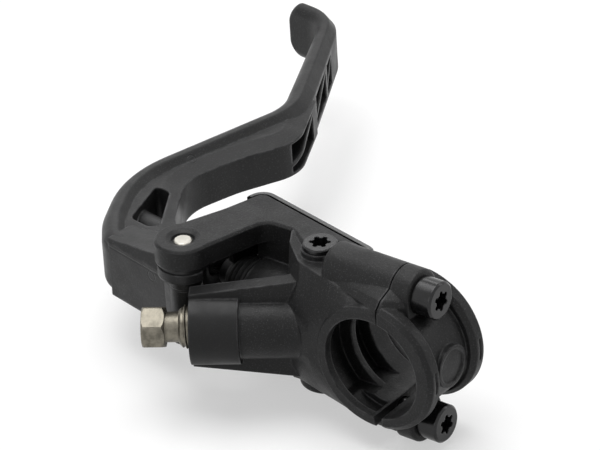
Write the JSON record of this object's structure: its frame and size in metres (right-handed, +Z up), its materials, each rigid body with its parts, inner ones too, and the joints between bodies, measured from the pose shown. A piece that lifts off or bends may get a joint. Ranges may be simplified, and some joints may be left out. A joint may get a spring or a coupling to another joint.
{
  "type": "bicycle brake lever",
  "caption": "Hydraulic bicycle brake lever: handlebar clamp, master-cylinder body with hose nut and reservoir cover, and a hooked lever blade that swings on a pivot pin.",
  "frame": {"origin": "centre of the handlebar bore, halfway along the clamp's width", "axes": "+X along the handlebar towards the lever's tip, +Y forwards from the bar to the blade, +Z up along the lever's pivot pin"},
  "size_m": [0.1228, 0.1131, 0.0392],
  "materials": {
    "housing_plastic": "fibre-filled, fine moulded grain",
    "lever_plastic": "satin, smooth",
    "cover_plastic": "glossy black",
    "bush_plastic": "plain black",
    "black_steel": "black oxide, slightly glossy",
    "plated_nut": "plated, bright",
    "bright_steel": "turned",
    "brass": "turned",
    "piston_alloy": "anodised",
    "rubber": "soft"
  },
  "bodies": {
    "housing": {"master_body": "housing_plastic", "clamp_cap": "housing_plastic", "clamp_screw_upper": "black_steel", "clamp_screw_lower": "black_steel", "clamp_insert_upper": "brass", "clamp_insert_lower": "brass", "bleed_screw_upper": "black_steel", "bleed_screw_lower": "black_steel", "bleed_seal_upper": "rubber", "bleed_seal_lower": "rubber", "reservoir_cover": "cover_plastic", "reservoir_diaphragm": "rubber", "cover_screw_1": "black_steel", "cover_screw_2": "black_steel", "cover_screw_3": "black_steel", "cover_screw_4": "black_steel", "hose_nut": "plated_nut", "compression_olive": "brass", "pivot_pin": "bright_steel", "retaining_ring": "bright_steel", "wiper_seal": "rubber"},
    "lever": {"lever_blade": "lever_plastic", "pivot_bush_upper": "bush_plastic", "pivot_bush_lower": "bush_plastic", "reach_screw": "black_steel"},
    "pushrod": {"pushrod": "black_steel"},
    "piston": {"piston": "piston_alloy", "primary_seal": "rubber", "secondary_seal": "rubber", "return_spring": "bright_steel"}
  },
  "joints": [
    {"name": "lever_pivot", "type": "hinge", "parent": "housing", "child": "lever", "pos_m": [-0.0096, 0.0457, 0], "axis": [0, 0, -1], "range_deg": [0, 20], "stiffness_Nm_per_rad": 0.8, "springref_deg": -11.46},
    {"name": "piston_slide", "type": "slide", "parent": "housing", "child": "piston", "axis": [-0.1564, -0.9877, 0], "range_m": [0, 0.0052], "deforming": ["return_spring"]},
    {"name": "pushrod_swing", "type": "hinge", "parent": "lever", "child": "pushrod", "pos_m": [0.00529, 0.04596, 0], "axis": [0, 0, 1], "range_deg": [0, 20]}
  ],
  "couplings": [
    {"joint": "piston_slide", "follows": "lever_pivot", "m_per_rad": 0.014814},
    {"joint": "pushrod_swing", "follows": "lever_pivot", "ratio": 1}
  ]
}
